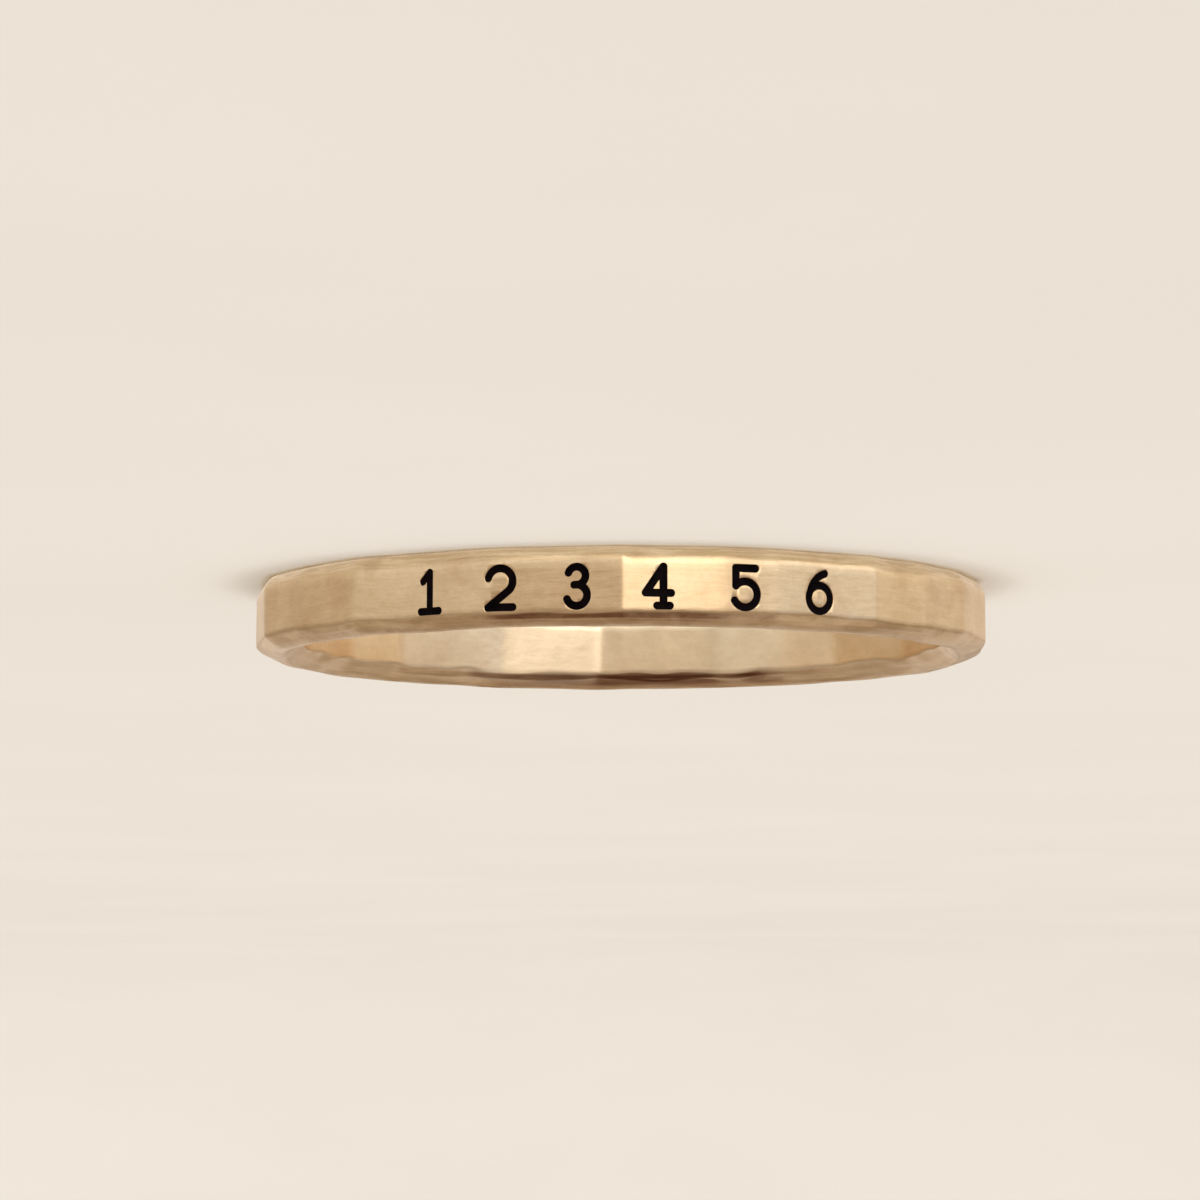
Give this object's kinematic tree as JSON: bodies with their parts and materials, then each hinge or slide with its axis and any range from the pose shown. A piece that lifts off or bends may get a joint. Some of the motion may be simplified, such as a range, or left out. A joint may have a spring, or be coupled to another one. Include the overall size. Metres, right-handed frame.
{
  "type": "engraved name ring",
  "caption": "Thin hand-hammered gold band ring with flat facets and slanted shoulders outside, a round bevelled bore, and small engraved numerals filled with black enamel.",
  "frame": {"origin": "centre of the finger hole at half the band's width", "axes": "+Z along the finger hole, up as the ring lies on its side; the engraved numerals face -Y, with their tops towards -Z, and read towards -X"},
  "size_m": [0.0196, 0.0196, 0.002],
  "materials": {
    "gold": "satin brushed 14-karat yellow gold, hammered",
    "black_enamel": "semi-gloss black enamel colour fill"
  },
  "bodies": {
    "root": {"band": "gold", "numeral_fill_1": "black_enamel", "numeral_fill_2": "black_enamel", "numeral_fill_3": "black_enamel", "numeral_fill_4": "black_enamel", "numeral_fill_5": "black_enamel", "numeral_fill_6": "black_enamel"}
  },
  "joints": []
}
